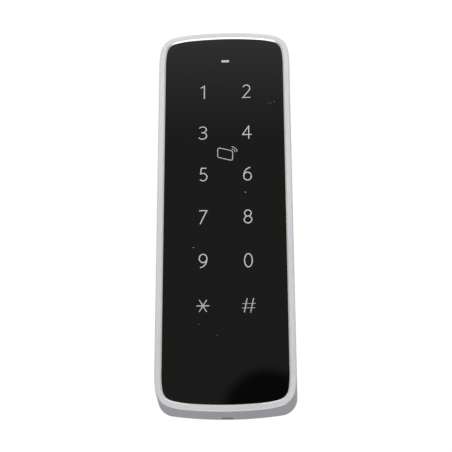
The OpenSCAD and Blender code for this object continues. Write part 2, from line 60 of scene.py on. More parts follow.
# Depth levels, from the front rim to the rear edge. The wall is at 0.
SHADOW_GAP, GLASS_DROP, GLASS_T, ADHESIVE_T, BOARD_GAP, BOARD_STACK = 0.3, 0.4, 1.8, 0.2, 1.0, 6.0
Y_FRONT, Y_REAR = -BODY_D, -SHADOW_GAP
Y_GLASS = Y_FRONT + GLASS_DROP
Y_GLASS_BACK = Y_GLASS + GLASS_T
Y_LEDGE = Y_GLASS_BACK + ADHESIVE_T
Y_BOARD = Y_LEDGE + BOARD_GAP
Y_SHOULDER = Y_BOARD + BOARD_STACK

# Insets from the front outline
RIM_W, RIM_BEVEL = 2.5, 0.45
POCKET_IN, LEDGE_IN, CAVITY_IN, RECESS_IN = RIM_W - 0.05, 4.6, 3.4, 2.6

# Hinge at the top, screw notch at the bottom, bosses for the rear cover's screws
PIVOT_Y, PIVOT_Z, SWING, WALL_CLEAR = -2.5, 64.6, math.radians(18), 0.15
SCREW_Y, HEAD_R, NECK_R, HEAD_SEAT_Z = -4.0, 2.2, 1.3, -68.75
POST_X, POST_Z, POST_R, POST_END = 18.3, 45.0, 2.3, -8.2
HOLE_R, HOLE_END = 1.1, -13.0

# Tamper spring, between the switch and the plunger
TAMPER_X, TAMPER_Z = 11.0, -52.0
SPRING_R, WIRE_R, SPRING_TURNS, SPRING_FRONT, SPRING_REAR = 1.1, 0.15, 7, -9.43, -1.82

# Places of the print. The figures sit PRINT_X, the card and the status bar SIGN_X, right of the middle.
KEY_PITCH_X, KEY_PITCH_Z, TOP_ROW_Z = 15.85, 16.1, 46.4
PRINT_X, SIGN_X, CARD_Z, STATUS_Z = 0.3, 0.4, 21.9, 58.9


# ------------------------------------------------------------------ materials

class Shader:
    """A small builder for one material. Its Principled shader is there from the start."""

    def __init__(self, name):
        self.material = bpy.data.materials.new(name)
        self.material.use_nodes = True
        self.tree = self.material.node_tree
        self.tree.nodes.clear()
        self.out = self.tree.nodes.new("ShaderNodeOutputMaterial")
        self.bsdf = self.tree.nodes.new("ShaderNodeBsdfPrincipled")
        self.tree.links.new(self.bsdf.outputs[0], self.out.inputs[0])
        self.where = self.tree.nodes.new("ShaderNodeTexCoord").outputs["Object"]

    def feed(self, socket, value):
        """Links the value if it is a socket, and sets it if it is a number or a colour."""
        if isinstance(value, bpy.types.NodeSocket):
            self.tree.links.new(value, socket)
        else:
            socket.default_value = value

    def node(self, kind, **values):
        """Adds a node. Each value goes to the input of that name, or else to the node's own property."""
        made = self.tree.nodes.new("ShaderNode" + kind)
        for key, value in values.items():
            socket = made.inputs.get(key.replace("_", " "))
            if socket is None:
                setattr(made, key, value)
            else:
                self.feed(socket, value)
        return made

    def set(self, **values):
        """Feeds the Principled shader's inputs."""
        for key, value in values.items():
            self.feed(self.bsdf.inputs[key.replace("_", " ")], value)

    def noise(self, scale, detail=3.0, rough=0.55, stretch=None):
        at = self.node("Mapping", Vector=self.where, Scale=stretch).outputs[0] if stretch else self.where
        return self.node("TexNoise", Vector=at, Scale=scale, Detail=detail, Roughness=rough).outputs[0]

    def span(self, value, low, high, from_low=0.0, from_high=1.0):
        """The value's range from_low to from_high, brought to low to high."""
        limits = {"From_Min": from_low, "From_Max": from_high, "To_Min": low, "To_Max": high}
        return self.node("MapRange", Value=value, **limits).outputs[0]

    def mix(self, factor, a, b):
        """Colour a where the factor is 0 and b where it is 1."""
        made = self.node("Mix", data_type="RGBA")
        for index, value in ((0, factor), (6, a), (7, b)):
            self.feed(made.inputs[index], value)
        return made.outputs[2]

    def math(self, how, a, b=0.5):
        made = self.node("Math", operation=how)
        self.feed(made.inputs[0], a)
        self.feed(made.inputs[1], b)
        return made.outputs[0]

    def bump(self, height, depth, strength):
        """Relief of the given depth in mm."""
        made = self.node("Bump", Height=height, Strength=strength, Distance=depth * MM)
        self.feed(self.bsdf.inputs["Normal"], made.outputs[0])

    def show(self, surface):
        """Puts another surface in the Principled shader's place."""
        self.feed(self.out.inputs[0], surface)
        self.tree.nodes.remove(self.bsdf)

    def fade(self, amount, surface):
        """The surface where the amount is 1, and nothing where it is 0."""
        made = self.node("MixShader")
        for index, value in enumerate((amount, self.node("BsdfTransparent").outputs[0], surface)):
            self.feed(made.inputs[index], value)
        return made.outputs[0]


def rgb(red, green, blue):
    return red, green, blue, 1.0


def silver_paint():
    s = Shader("silver_paint")
    drift = s.noise(38, 2)
    flake = s.noise(5200, 2, 0.7)
    tone = s.mix(s.span(drift, 0, 1, 0.3, 0.7), rgb(0.60, 0.61, 0.645), rgb(0.64, 0.65, 0.68))
    s.set(Base_Color=s.mix(s.span(flake, 0, 0.22, 0.35, 0.75), tone, rgb(0.80, 0.81, 0.84)),
          Metallic=0.35, Roughness=s.span(drift, 0.36, 0.46, 0.3, 0.7),
          Coat_Weight=0.12, Coat_Roughness=0.25)
    s.bump(s.noise(2600, 3), 0.02, 0.35)
    return s.material


def polished_edge():
    s = Shader("polished_edge")
    s.set(Base_Color=s.mix(s.noise(60), rgb(0.92, 0.90, 0.82), rgb(0.97, 0.95, 0.88)), Metallic=1.0,
          Roughness=s.span(s.noise(900), 0.25, 0.4))
    return s.material


# Larger specks on the glass, as (x, z, radius) in mm
DUST = (
    (7.4, 7.2, 0.24), (-11.1, -13.1, 0.17),
    (16.1, 41.7, 0.11), (17.0, 41.6, 0.11), (18.3, 42.2, 0.13),
)


def black_glass():
    """Black behind polished glass, with faint smears, a scatter of fine dust and the larger specks."""
    s = Shader("black_glass")
    smear = s.noise(45, 4, 0.6, (1, 1, 0.6))
    to_grain = s.node("TexVoronoi", Vector=s.where, Scale=330.0).outputs["Distance"]
    grain = s.math("LESS_THAN", to_grain, 0.05)
    patch = s.math("GREATER_THAN", s.noise(210, 1), 0.66)
    dust = s.math("MULTIPLY", grain, s.math("MULTIPLY", patch, 0.35))
    for x, z, radius in DUST:
        centre = (x * MM, Y_GLASS * MM, z * MM)
        apart = s.node("VectorMath", operation="DISTANCE")
        s.feed(apart.inputs[0], s.where)
        s.feed(apart.inputs[1], centre)
        speck = s.span(apart.outputs["Value"], 1, 0, radius * 0.5 * MM, radius * MM)
        dust = s.math("MAXIMUM", dust, speck)
    s.set(Base_Color=s.mix(dust, rgb(0.0013, 0.0013, 0.0011), rgb(0.50, 0.50, 0.46)), IOR=1.5,
          Roughness=s.span(smear, 0.02, 0.045, 0.3, 0.7))
    return s.material


def ink(name, grey):
    s = Shader(name)
    thin = grey * 0.93
    s.set(Base_Color=s.mix(s.noise(900), rgb(thin, thin, thin), rgb(grey, grey, grey)),
          Roughness=s.span(s.noise(500), 0.35, 0.5))
    s.bump(s.noise(4000), 0.004, 0.3)
    return s.material


def plated_steel(name, warm):
    """Brushed steel with a clouded zinc finish. warm is how much of the cloud is yellowish."""
    s = Shader(name)
    cloud = s.noise(110, 5, 0.6)
    grain = s.noise(900, 3, 0.6, (1, 1, 0.06))
    tone = s.mix(s.span(cloud, 0, warm, 0.35, 0.7), rgb(0.56, 0.57, 0.58), rgb(0.62, 0.58, 0.46))
    s.set(Base_Color=s.mix(s.span(grain, 0, 0.25, 0.4, 0.8), tone, rgb(0.38, 0.38, 0.38)), Metallic=0.95,
          Roughness=s.span(cloud, 0.36, 0.44, 0.3, 0.7))
    s.bump(grain, 0.01, 0.4)
    return s.material


def dull_screw():
    s = Shader("dull_screw")
    cloud = s.noise(500, 4, 0.6)
    s.set(Base_Color=s.mix(s.span(cloud, 0, 1, 0.35, 0.7), rgb(0.30, 0.29, 0.27), rgb(0.44, 0.42, 0.39)),
          Metallic=0.9, Roughness=s.span(cloud, 0.32, 0.5, 0.3, 0.7))
    s.bump(s.noise(1800), 0.01, 0.5)
    return s.material


def moulded(name, dark, light, rough=(0.5, 0.62), grain=1500, depth=0.03):
    """Plastic, rubber or ceramic with a fine grain, between two tones."""
    s = Shader(name)
    cloud = s.noise(50, 4)
    s.set(Base_Color=s.mix(cloud, rgb(*dark), rgb(*light)), Roughness=s.span(cloud, *rough, 0.3, 0.7))
    s.bump(s.noise(grain, 4, 0.6), depth, 0.5)
    return s.material


def circuit_board():
    """Green lacquer over a pattern of tracks."""
    s = Shader("circuit_board")
    flat = s.node("Mapping", Vector=s.where, Rotation=(math.radians(90), 0, 0)).outputs[0]
    tracks = s.node("TexBrick", Vector=flat, Scale=160.0, Mortar_Size=0.05).outputs["Fac"]
    s.set(Base_Color=s.mix(tracks, rgb(0.008, 0.075, 0.035), rgb(0.015, 0.13, 0.06)),
          Roughness=s.span(s.noise(200), 0.3, 0.42))
    s.bump(tracks, 0.03, 0.4)
    return s.material


def bare_copper():
    s = Shader("bare_copper")
    cloud = s.noise(120, 4)
    s.set(Base_Color=s.mix(cloud, rgb(0.62, 0.30, 0.16), rgb(0.80, 0.46, 0.26)), Metallic=1.0,
          Roughness=s.span(cloud, 0.25, 0.45))
    return s.material


def clear_moulding():
    s = Shader("clear_moulding")
    s.set(Base_Color=rgb(0.9, 0.93, 0.95), Transmission_Weight=0.85, IOR=1.49,
          Roughness=s.span(s.noise(300), 0.08, 0.2))
    return s.material


def lit_window():
    s = Shader("lit_window")
    cloud = s.noise(700)
    s.set(Base_Color=s.mix(cloud, rgb(0.44, 0.44, 0.48), rgb(0.50, 0.50, 0.54)), Roughness=0.35,
          Emission_Color=rgb(0.9, 0.92, 1.0), Emission_Strength=s.span(cloud, 0.01, 0.03))
    return s.material


SILVER = silver_paint()
EDGE = polished_edge()
GLASS = black_glass()
INK = ink("figure_ink", 0.49)
CARD_INK = ink("symbol_ink", 0.42)
SIGN_INK = ink("sign_ink", 0.40)
LAMP = lit_window()
PLATED = plated_steel("plated_steel", 0.3)
PIN = plated_steel("ground_pin", 0.05)
SCREW = dull_screw()
COVER = moulded("cover_plastic", (0.018, 0.018, 0.020), (0.030, 0.030, 0.032))
RUBBER = moulded("grommet_rubber", (0.010, 0.010, 0.010), (0.022, 0.022, 0.022), (0.7, 0.85), 700)
BOARD = circuit_board()
COPPER = bare_copper()
CHIP = moulded("chip_epoxy", (0.010, 0.010, 0.011), (0.020, 0.020, 0.021), (0.45, 0.6), 3000, 0.01)
CARRIER = moulded("carrier_plastic", (0.03, 0.03, 0.032), (0.045, 0.045, 0.047))
FERRITE = moulded("ferrite_sheet", (0.05, 0.05, 0.052), (0.08, 0.08, 0.082), (0.6, 0.8), 900)
CLEAR = clear_moulding()
LED = moulded("led_package", (0.75, 0.73, 0.55), (0.85, 0.84, 0.70), (0.3, 0.45), 2500, 0.01)
CAN = plated_steel("capacitor_can", 0.0)
GREEN = moulded("terminal_green", (0.02, 0.16, 0.06), (0.03, 0.22, 0.08))
ACETAL = moulded("acetal_white", (0.68, 0.68, 0.65), (0.78, 0.78, 0.75), (0.35, 0.5), 900, 0.01)


# ------------------------------------------------------------------ CAD nodes that stay

NODE_MATERIAL = {
    "wall_bracket": PLATED, "hinge_pin": PIN, "security_screw": SCREW, "panel_adhesive": RUBBER,
    "backlight_guide": CLEAR, "backlight_leds": LED, "status_light_pipe": CLEAR, "status_led": LED,
    "touch_board": BOARD, "touch_pads": COPPER, "rfid_antenna": COPPER, "ferrite_sheet": FERRITE,
    "board_spacer": CARRIER, "board_connector": CHIP, "main_board": BOARD, "controller_chip": CHIP,
    "radio_chip": CHIP, "transceiver_chip": CHIP, "voltage_regulator": CHIP, "power_inductor": FERRITE,
    "capacitors": CAN, "chip_resistors": CHIP, "crystal": PIN, "buzzer": CHIP, "cable_header": GREEN,
    "tamper_switch": CHIP, "tamper_plunger": ACETAL, "sealing_gasket": RUBBER,
    "rear_cover": COVER, "cover_screws": SCREW, "cable_grommet": RUBBER,
}
EASED_MM = {
    "wall_bracket": 0.2, "rear_cover": 0.15, "security_screw": 0.1, "cover_screws": 0.1,
    "cable_grommet": 0.3, "tamper_plunger": 0.1, "hinge_pin": 0.15,
}
SAME_POINT, SAME_PLANE, EASED_ANGLE = 1e-6, math.radians(0.5), math.radians(40)


def dress(name):
    """Gives a CAD node its material, eased edges and clean shading. Its own points are left alone."""
    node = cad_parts[name]
    node.data.materials.clear()
    node.data.materials.append(NODE_MATERIAL[name])
    weld = node.modifiers.new("weld", "WELD")
    weld.merge_threshold = SAME_POINT
    flat = node.modifiers.new("flat", "DECIMATE")
    flat.decimate_type = "DISSOLVE"
    flat.angle_limit = SAME_PLANE
    if name in EASED_MM:
        ease = node.modifiers.new("ease", "BEVEL")
        ease.width = EASED_MM[name] * MM
        ease.segments = 2
        ease.limit_method = "ANGLE"
        ease.angle_limit = EASED_ANGLE
        ease.use_clamp_overlap = True
    node.data.polygons.foreach_set("use_smooth", [True] * len(node.data.polygons))
    normals = node.modifiers.new("normals", "WEIGHTED_NORMAL")
    normals.keep_sharp = True


for node_name in NODE_MATERIAL:
    dress(node_name)


# ------------------------------------------------------------------ outlines and meshes

FINE = 16                                       # steps along a side, a corner or an end
HAIR = 0.01                                     # keeps the finer curves inside the CAD part's facets
FRONT_W, FRONT_H = BODY_W / 2 - DRAFT - HAIR, BODY_H / 2 - DRAFT - HAIR
REAR_W, REAR_H = BODY_W / 2 - HAIR, BODY_H / 2 - HAIR


def arc(x, z, r, start, end, n):
    """n steps round a circle about (x, z), from one angle to another."""
    angles = [start + (end - start) * i / n for i in range(n + 1)]
    return [(x + r * math.cos(a), z + r * math.sin(a)) for a in angles]


def quarter(half_w, half_h, end_r, ease_r, corner_r):
    """Points from the middle of a side up to the top: side, easing arc, corner, easing arc and end arc."""
    across = (ease_r - corner_r) * math.cos(EASE) + end_r - ease_r
    along = (ease_r - corner_r) * math.sin(EASE)
    reach = half_w - ease_r * (1 - math.cos(EASE)) - corner_r * math.cos(EASE)
    end_turn = math.asin(reach / math.hypot(across, along)) - math.atan2(along, across)
    top = math.pi / 2
    turn = [0, EASE, top - end_turn - EASE, top - end_turn, top]
    radius = [ease_r, corner_r, ease_r, end_r]
    centre = [(0.0, half_h - end_r)]
    for i in (3, 2, 1):
        x, z = centre[0]
        step = radius[i] - radius[i - 1]
        centre.insert(0, (x + step * math.cos(turn[i]), z + step * math.sin(turn[i])))
    points = [(half_w, centre[0][1] * i / FINE) for i in range(FINE)]
    steps = (FINE // 2, FINE, FINE // 2, FINE)
    for (x, z), r, start, end, n in zip(centre, radius, turn, turn[1:], steps):
        points += arc(x, z, r, start, end, n)[:-1]
    return points


def whole(points, half_h):
    """The quarter's points, mirrored and repeated all the way round."""
    top = points + [(0.0, half_h)] + [(-x, z) for x, z in reversed(points[1:])]
    return top + [(-x, -z) for x, z in top]


def outline(inset):
    """The front outline, drawn in by the inset."""
    half_h = FRONT_H - inset
    side = quarter(FRONT_W - inset, half_h, END_R - inset, EASE_R - inset, CORNER_R - inset)
    return whole(side, half_h)


def rear_outline(inset=0.0):
    """The outline at the wall, which has plain corners."""
    half_h = REAR_H - inset
    corner = REAR_CORNER_R - inset
    side = quarter(REAR_W - inset, half_h, END_R + DRAFT - inset, corner, corner)
    return whole(side, half_h)


def between(a, b, t):
    return [(x0 + (x1 - x0) * t, z0 + (z1 - z0) * t) for (x0, z0), (x1, z1) in zip(a, b)]


def at_depth(points, y):
    return [(x, y, z) for x, z in points]


def relieved(points, y):
    """A loop near the wall. Above the hinge it is pulled forward, and in by the draft, to clear the wall as
    the reader swings."""
    moved = []
    for x, z in points:
        depth = y
        if z > PIVOT_Z:
            reach = -PIVOT_Y - WALL_CLEAR - (z - PIVOT_Z) * math.sin(SWING)
            depth = min(y, PIVOT_Y + reach / math.cos(SWING))
        moved.append((x, depth, z - DRAFT * (y - depth) / (Y_REAR - Y_FRONT)))
    return moved


def loft(loops, closed=False):
    """Points and faces of a skin over loops of equal length. closed joins the last loop to the first."""
    n, count = len(loops[0]), len(loops)
    verts = [point for loop in loops for point in loop]
    faces = []
    for i in range(count if closed else count - 1):
        a, b = i * n, ((i + 1) % count) * n
        faces += [(a + j, a + (j + 1) % n, b + (j + 1) % n, b + j) for j in range(n)]
    return verts, faces


def tube(loops):
    """An open loft with a face over each end."""
    verts, faces = loft(loops)
    n = len(loops[0])
    ends = [tuple(reversed(range(n))), tuple(range(len(verts) - n, len(verts)))]
    return verts, faces + ends


def edit_mesh(mesh, change):
    """Puts the mesh through one bmesh change."""
    edit = bmesh.new()
    edit.from_mesh(mesh)
    change(edit)
    edit.to_mesh(mesh)
    edit.free()


def face_outwards(edit):
    bmesh.ops.recalc_face_normals(edit, faces=edit.faces[:])


def drop_slivers(edit):
    bmesh.ops.dissolve_degenerate(edit, edges=edit.edges[:], dist=1e-7)


def add_object(name, verts, faces, materials, unit=MM):
    """A mesh object from points in mm, or in another unit."""
    mesh = bpy.data.meshes.new(name)
    mesh.from_pydata([(x * unit, y * unit, z * unit) for x, y, z in verts], [], faces)
    for material in materials:
        mesh.materials.append(material)
    made = bpy.data.objects.new(name, mesh)
    bpy.context.scene.collection.objects.link(made)
    return made


def make(name, verts, faces, materials, replaces=(), indices=None, body="reader"):
    """A piece of the reader. It rides on the body and stands for the CAD nodes
    that it replaces."""
    made = add_object(name, verts, faces, materials)
    mesh = made.data
    if indices:
        mesh.polygons.foreach_set("material_index", indices)
    mesh.polygons.foreach_set("use_smooth", [True] * len(mesh.polygons))
    edit_mesh(mesh, face_outwards)
    if body:
        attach(made, body)
    if replaces:
        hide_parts(*replaces)
    return made


def sharpen(made, degrees):
    """Keeps edges sharp where the faces turn by more than this, and shades the rest smooth."""
    for other in bpy.context.selected_objects:
        other.select_set(False)
    bpy.context.view_layer.objects.active = made
    made.select_set(True)
    bpy.ops.object.shade_smooth_by_angle(angle=math.radians(degrees))
    made.select_set(False)
    normals = made.modifiers.new("normals", "WEIGHTED_NORMAL")
    normals.keep_sharp = True


def cut(made, cutter):
    """Takes the cutter out of the piece for good."""
    tool = made.modifiers.new("cut", "BOOLEAN")
    tool.operation, tool.solver, tool.object = "DIFFERENCE", "EXACT", cutter
    tool.material_mode = "TRANSFER"
    result = made.evaluated_get(bpy.context.evaluated_depsgraph_get())
    done = bpy.data.meshes.new_from_object(result)
    edit_mesh(done, drop_slivers)
    made.modifiers.clear()
    done.name = made.data.name + "_cut"
    made.data = done
    bpy.data.objects.remove(cutter)


# ------------------------------------------------------------------ housing and glass

CREST_DEPTH, CREST_WIDTH = 0.03, 0.05           # eased edge between the bevel and the rim's face
FILLET_R, FILLET_STEPS = 0.55, 6                # outer edge of the rim
GLASS_EASE, REAR_EASE = 0.05, 0.12              # eased edges of the glass and of the housing at the wall
MID_WIDTH, MID_DEPTH = 0.4, 0.3                 # middle of an eased edge, as parts of its size
REAR_FLAT = 0.97                                # how far across the rear edge its flat runs
WALL_STEPS = (0.25, 0.5, 0.75, 0.9, 0.985)      # closer together near the wall, where the relief bends them
RELIEF_DEPTH = 3.2                              # how far in from the rear edge the relief ends
NOTCH_STEPS, NOTCH_FLOOR, NOTCH_BACK, NOTCH_TOP = 31, -75.0, 3.0, -60.0


def housing():
    """The pocket, rim and walls as one closed loft round the outline, then the security screw's notch."""
    front, rear = outline(0), rear_outline()
    crest = POCKET_IN - RIM_BEVEL
    depth = Y_REAR - Y_FRONT
    fillet = arc(FILLET_R, Y_FRONT + FILLET_R, FILLET_R, -math.pi / 2, -math.pi, FILLET_STEPS)
    polished = [
        at_depth(outline(POCKET_IN), Y_FRONT + RIM_BEVEL),
        at_depth(outline(crest + CREST_DEPTH), Y_FRONT + CREST_DEPTH),
    ]
    painted = [at_depth(outline(crest - CREST_WIDTH), Y_FRONT)]
    painted += [at_depth(outline(inset), y) for inset, y in fillet]
    painted += [relieved(between(front, rear, t), Y_FRONT + depth * t) for t in WALL_STEPS]
    painted += [
        relieved(rear_outline(REAR_EASE * MID_WIDTH), Y_REAR - REAR_EASE * MID_DEPTH),
        relieved(rear_outline(REAR_EASE), Y_REAR),
        relieved(between(rear_outline(REAR_EASE), outline(RECESS_IN - REAR_EASE), REAR_FLAT), Y_REAR),
        relieved(outline(RECESS_IN), Y_REAR - REAR_EASE),
        at_depth(outline(RECESS_IN), Y_REAR - RELIEF_DEPTH),
        at_depth(outline(RECESS_IN), Y_SHOULDER),
        at_depth(outline(CAVITY_IN), Y_SHOULDER),
        at_depth(outline(CAVITY_IN), Y_BOARD),
        at_depth(outline(LEDGE_IN), Y_BOARD),
        at_depth(outline(LEDGE_IN), Y_LEDGE),
    ]
    loops = [at_depth(outline(POCKET_IN), Y_LEDGE)] + polished + painted
    verts, faces = loft(loops, closed=True)
    bands = [0] + [1] * len(polished) + [0] * len(painted)
    indices = [band for band in bands for _ in front]
    made = make("housing", verts, faces, [SILVER, EDGE], ["front_frame"], indices)
    for r, top in ((HEAD_R, HEAD_SEAT_Z), (NECK_R, NOTCH_TOP)):
        half_round = arc(0, SCREW_Y, r, math.pi, 2 * math.pi, NOTCH_STEPS)
        notch = [(-r, NOTCH_BACK)] + half_round + [(r, NOTCH_BACK)]
        verts, faces = tube([[(x, y, z) for x, y in notch] for z in (NOTCH_FLOOR, top)])
        cut(made, add_object("notch_cutter", verts, faces, [SILVER]))
    sharpen(made, degrees=32)


def posts():
    """The four bosses that take the rear cover's screws, each with its blind hole."""
    profile = ((POST_R, Y_BOARD), (POST_R, POST_END), (HOLE_R, POST_END), (HOLE_R, HOLE_END))
    verts, faces = [], []
    for x in (-POST_X, POST_X):
        for z in (-POST_Z, POST_Z):
            points, skin = tube([at_depth(arc(x, z, r, 0, 2 * math.pi, 40)[:-1], y) for r, y in profile])
            faces += [tuple(len(verts) + i for i in face) for face in skin]
            verts += points
    sharpen(make("screw_posts", verts, faces, [SILVER]), degrees=35)


def glass_panel():
    verts, faces = tube([
        at_depth(outline(RIM_W), Y_GLASS_BACK),
        at_depth(outline(RIM_W), Y_GLASS + GLASS_EASE),
        at_depth(outline(RIM_W + GLASS_EASE * MID_WIDTH), Y_GLASS + GLASS_EASE * MID_DEPTH),
        at_depth(outline(RIM_W + GLASS_EASE), Y_GLASS),
    ])
    sharpen(make("glass_panel", verts, faces, [GLASS], ["touch_glass"]), degrees=25)


def coil_spring():
    """The tamper spring, drawn as round wire, between the switch and the plunger."""
    steps = 26 * SPRING_TURNS
    wire = arc(SPRING_R, 0, WIRE_R, 0, 2 * math.pi, 10)[:-1]
    loops = []
    for i in range(steps + 1):
        turn = 2 * math.pi * SPRING_TURNS * i / steps
        c, s = math.cos(turn), math.sin(turn)
        y = SPRING_FRONT + (SPRING_REAR - SPRING_FRONT) * i / steps
        loops.append([(TAMPER_X + r * c, y + rise, TAMPER_Z + r * s) for r, rise in wire])
    verts, faces = tube(loops)
    made = make("coil_spring", verts, faces, [PIN], ["tamper_spring"], body=None)
    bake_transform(made)


housing()
posts()
glass_panel()
coil_spring()


# ------------------------------------------------------------------ printed figures

STROKE, SIGN_STROKE, CARD_STROKE, WAVE_STROKE = 0.385, 0.36, 0.3, 0.23
FIGURE_W, FIGURE_H = 1.35, 2.4                  # half a figure's size, between centre lines
PROUD, SUNK = 0.03, 0.01                        # how far print stands off the glass and reaches into it
LAYER = 0.0008                                  # how far each line of a figure lies above the one before
STATUS_W, STATUS_H, STATUS_R = 1.42, 0.42, 0.2  # half the status bar's size, and its corners


def ribbon(points, width, closed):
    """Left and right edges of a line, with mitred corners."""
    p = [Vector(point) for point in points]
    n, left, right = len(p), [], []
    for i in range(n):
        before = p[i] - p[i - 1] if i or closed else p[1] - p[0]
        after = p[(i + 1) % n] - p[i] if i < n - 1 or closed else before
        side = Vector((-before.y, before.x)).normalized()
        next_side = Vector((-after.y, after.x)).normalized()
        mitre = (side + next_side).normalized()
        reach = width / 2 / max(0.5, mitre.dot(side))
        left.append(p[i] + mitre * reach)
        right.append(p[i] - mitre * reach)
    return left, right


def bend(a, b, c, n=14):
    """A curve from a to c that is pulled towards b."""
    a, b, c = Vector(a), Vector(b), Vector(c)
    steps = [i / n for i in range(n + 1)]
    return [tuple(a * (1 - t) ** 2 + b * 2 * t * (1 - t) + c * t * t) for t in steps]


def oval(x, z, rx, rz, start, end, n=22):
    """Part of an ellipse about (x, z), between two angles in degrees."""
    angles = [math.radians(start + (end - start) * i / n) for i in range(n + 1)]
    return [(x + rx * math.cos(a), z + rz * math.sin(a)) for a in angles]


def ring(x, z, rx, rz):
    return oval(x, z, rx, rz, 0, 360, 40)[:-1]


def rounded(corners, r, n=6):
    """A closed polygon with rounded corners."""
    p, out = [Vector(corner) for corner in corners], []
    for i in range(len(p)):
        a, b, c = p[i - 1], p[i], p[(i + 1) % len(p)]
        to_a, to_c = (a - b).normalized(), (c - b).normalized()
        half = math.acos(max(-1, min(1, to_a.dot(to_c)))) / 2
        reach = r / math.tan(half)
        out += bend(b + to_a * reach, b, b + to_c * reach, n)
    return out


def figure(glyph):
    """The lines of a figure as (points, closed, width), in mm about its middle."""
    s, w, h = SIGN_STROKE if glyph in "*#" else STROKE, FIGURE_W, FIGURE_H
    end = h + s / 2
    upper_z = 0.53 * h                          # centre of the upper ring of 3 and 8
    upper_r = h - upper_z
    lower_r = (h + upper_z - upper_r) / 2       # the lower ring touches the upper one

    def line(points, width=s):
        return points, False, width

    def loop(points):
        return points, True, s

    def half_turn(lines):
        return [([(-x, -z) for x, z in points], closed, width) for points, closed, width in lines]

    six = [loop(ring(0, -h + 1.5, w, 1.5)),
           line(bend((0.78 * w, h), (-0.8 * w, 0.9 * h), (-w, -h + 1.55)))]
    return {
        "1": [line([(-0.75 * w, 0.74 * h), (0.22 * w, 1.04 * h), (0.22 * w, -end)])],
        "2": [line(oval(-0.1, h - 1.08, 1.26, 1.34, 158, -32) + [(-1.05 * w, -0.97 * h), (w, -0.97 * h)])],
        "3": [line(oval(-0.3, upper_z, 1.33, upper_r, 150, -90) + [(-0.75, upper_z - upper_r)]),
              line(oval(-0.35, -h + lower_r, 1.5, lower_r, 90, -150))],
        "4": [line([(0.45 * w, -end), (0.45 * w, end)]),
              line([(0.45 * w, h), (-1.2 * w, -0.38 * h), (1.22 * w, -0.38 * h)])],
        "5": [line([(0.8 * w, h), (-0.55 * w, h), (-0.72 * w, 0.12 * h)]
                   + oval(-0.12, -h + 1.42, 1.42, 1.42, 112, -140))],
        "6": six,
        "7": [line([(-1.06 * w, h), (0.94 * w, h), (-0.83 * w, -end)])],
        "8": [loop(ring(0, upper_z, 1.16, upper_r)), loop(ring(0, -h + lower_r, w, lower_r))],
        "9": half_turn(six),
        "0": [loop(ring(0, 0, w, h))],
        "*": [line([(-2.25, 0), (2.25, 0)]), line([(-1.3, 2.12), (1.3, -2.12)]),
              line([(1.3, 2.12), (-1.3, -2.12)])],
        "#": [line([(-1.6, -2.5), (-0.6, 2.5)]), line([(0.6, -2.5), (1.65, 2.5)]),
              line([(-2.25, 0.6), (2.35, 0.6)], s * 0.5), line([(-2.4, -0.9), (2.2, -0.9)], s * 0.5)],
    }[glyph]


def printed(name, lines, x, z, material, replaces=()):
    """Lines of ink as low ribbons on the glass. Each lies a little above the last, so no two faces meet."""
    verts, faces = [], []
    for layer, (points, closed, width) in enumerate(lines):
        left, right = ribbon(points, width, closed)
        n, base = len(left), len(verts)
        for y in (Y_GLASS - PROUD - LAYER * layer, Y_GLASS + SUNK):
            verts += [(x + p.x, y, z + p.y) for p in left + right]
        for i in range(n if closed else n - 1):
            a, b = base + i, base + (i + 1) % n
            faces += [(a, b, b + n, a + n), (a, a + 2 * n, b + 2 * n, b),
                      (a + n, b + n, b + 3 * n, a + 3 * n), (a + 2 * n, a + 3 * n, b + 3 * n, b + 2 * n)]
        if not closed:
            faces += [(a, a + n, a + 3 * n, a + 2 * n) for a in (base, base + n - 1)]
    sharpen(make(name, verts, faces, [material], replaces), degrees=30)


def key_figures():
    """Two columns of six figures, left to right and top to bottom."""
    for row, pair in enumerate(("12", "34", "56", "78", "90", "*#")):
        for column, glyph in enumerate(pair):
            word = {"*": "star", "#": "hash"}.get(glyph, glyph)
            x, z = PRINT_X + (column - 0.5) * KEY_PITCH_X, TOP_ROW_Z - KEY_PITCH_Z * row
            material = SIGN_INK if glyph in "*#" else INK
            replaces = ["key_legends"] if glyph == "1" else ()
            printed("figure_" + word, figure(glyph), x, z, material, replaces)


def card_sign():
    """A card seen at a slant, with two arcs for the radio waves at its upper right corner."""
    card = rounded([(2.55, 1.2), (-2.85, 2.6), (-2.85, -1.15), (2.55, -2.6)], 0.8)
    waves = [(oval(2.1, 0.8, r, r, start, 0), False, WAVE_STROKE) for r, start in ((1.25, 82), (2.05, 90))]
    printed("card_sign", [(card, True, CARD_STROKE)] + waves, SIGN_X, CARD_Z, CARD_INK, ["card_symbol"])


def status_bar():
    w, h = STATUS_W, STATUS_H
    bar = rounded([(w, h), (-w, h), (-w, -h), (w, -h)], STATUS_R)
    points = [(SIGN_X + x, STATUS_Z + z) for x, z in bar]
    verts, faces = tube([at_depth(points, Y_GLASS - PROUD), at_depth(points, Y_GLASS + SUNK)])
    sharpen(make("status_bar", verts, faces, [LAMP], ["status_window"]), degrees=30)


key_figures()
card_sign()
status_bar()


# ------------------------------------------------------------------ studio, in metres

FLOOR_SIZE, FLOOR_Z, BACKDROP_R = 8, -0.45, 3.9
SHADE_R = 0.063                                 # dark disc, on a card that is large enough for it
SHADE_CARD, LOW_CARD, SIDE_CARD = (0.2, 0.2), (0.8, 0.8), (1.6, 2.0)


def fading_card(name, colour, strength, width, height):
    """A glow that fades out to nothing from half-way to the edges of the card."""
    s = Shader(name)
    axes = s.node("SeparateXYZ", Vector=s.where)
    fades = [s.span(s.math("ABSOLUTE", axes.outputs[i]), 1, 0, size * 0.25, size * 0.5)
             for i, size in enumerate((width, height))]
    light = s.node("Emission", Color=rgb(*colour), Strength=strength).outputs[0]
    s.show(s.fade(s.math("MULTIPLY", *fades), light))
    return s.material


